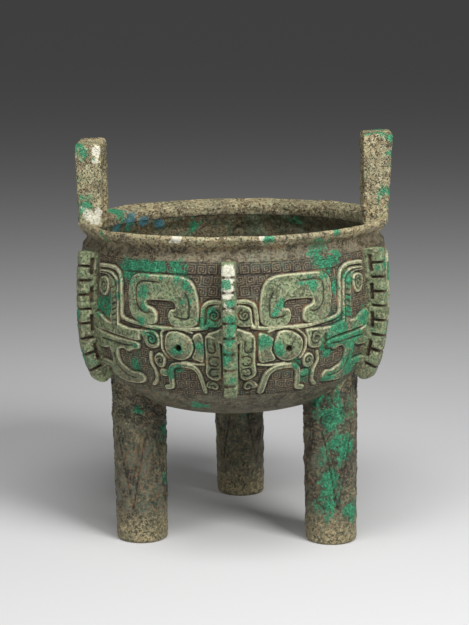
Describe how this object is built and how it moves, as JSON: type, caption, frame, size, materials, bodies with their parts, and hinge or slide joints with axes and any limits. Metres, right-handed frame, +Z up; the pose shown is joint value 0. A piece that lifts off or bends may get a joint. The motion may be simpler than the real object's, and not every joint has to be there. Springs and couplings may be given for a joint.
{
  "type": "bronze ding vessel",
  "caption": "Round bronze ding cauldron on three column legs, with upright loop handles, slotted flanges, animal masks in relief and green patina.",
  "frame": {"origin": "on the ground under the middle of the bounding box, between the three feet", "axes": "+Z up; +X through the two handles, towards the viewer's right; -Y towards the front mask, so +Y points to the single back leg"},
  "size_m": [0.201, 0.217, 0.2563],
  "materials": {
    "bronze": "ancient cast bronze, weathered to olive and grey-brown with pale crust and bright green corrosion in patches"
  },
  "bodies": {
    "root": {"ding_vessel": "bronze"}
  },
  "joints": []
}
